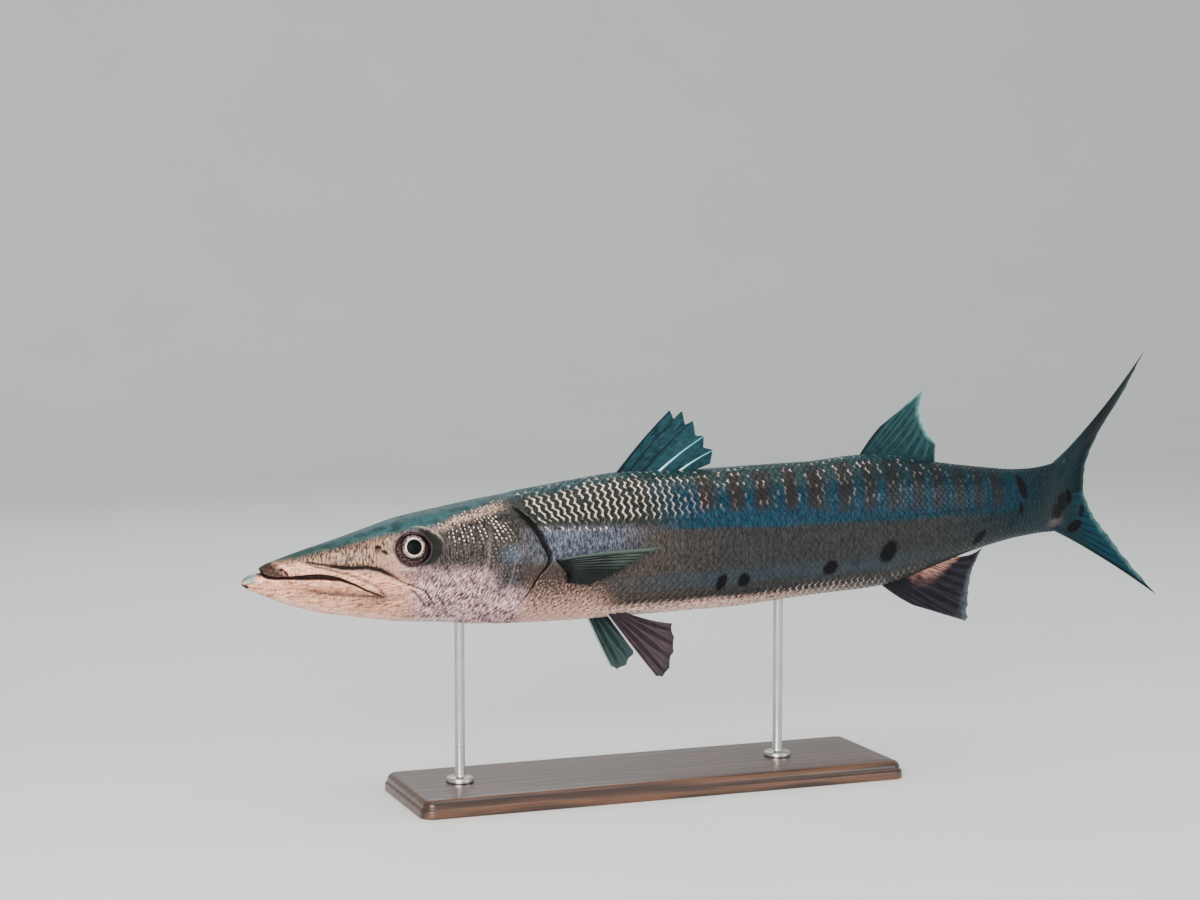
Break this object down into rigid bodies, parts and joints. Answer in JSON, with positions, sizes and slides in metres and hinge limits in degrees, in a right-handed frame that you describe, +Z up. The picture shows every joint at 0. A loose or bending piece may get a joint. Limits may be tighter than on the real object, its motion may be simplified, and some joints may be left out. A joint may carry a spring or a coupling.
{
  "type": "barracuda",
  "caption": "Life-size still barracuda: long silver body, projecting lower jaw, spread fins and forked tail swung aside, held level above a flat base by two upright rods.",
  "frame": {"origin": "centre of the stand base's underside, on the floor", "axes": "+Z up; the fish's midline runs along X with the head towards -X and the tail towards +X; the left flank faces -Y"},
  "size_m": [1.0929, 0.1747, 0.4286],
  "materials": {
    "skin_head": "painted cast, pink silver jaws and cheeks under a teal crown, wet gloss",
    "skin_body": "painted cast scales, teal back, silver flank with dark bars and black blotches, wet gloss",
    "eye": "polished dark eye with a silver ring",
    "fin_dark": "thin dark slate fins with paler rays",
    "fin_tail": "slate to blue teal tail fin with pale tips",
    "fin_pale": "thin grey purple fins with pale rays",
    "stand_base": "dark stained wood, satin",
    "stand_rod": "brushed steel"
  },
  "bodies": {
    "root": {"head": "skin_head", "lower_jaw": "skin_head", "gill_cover_left": "skin_head", "gill_cover_right": "skin_head", "eye_left": "eye", "eye_right": "eye", "body_front": "skin_body", "body_rear": "skin_body", "tail_base": "skin_body", "first_dorsal_fin": "fin_dark", "second_dorsal_fin": "fin_dark", "anal_fin": "fin_dark", "caudal_fin_upper": "fin_tail", "caudal_fin_lower": "fin_tail", "pectoral_fin_left": "fin_pale", "pectoral_fin_right": "fin_pale", "pelvic_fin_left": "fin_pale", "pelvic_fin_right": "fin_pale", "stand_base": "stand_base", "stand_rod_front": "stand_rod", "stand_rod_rear": "stand_rod"}
  },
  "joints": []
}
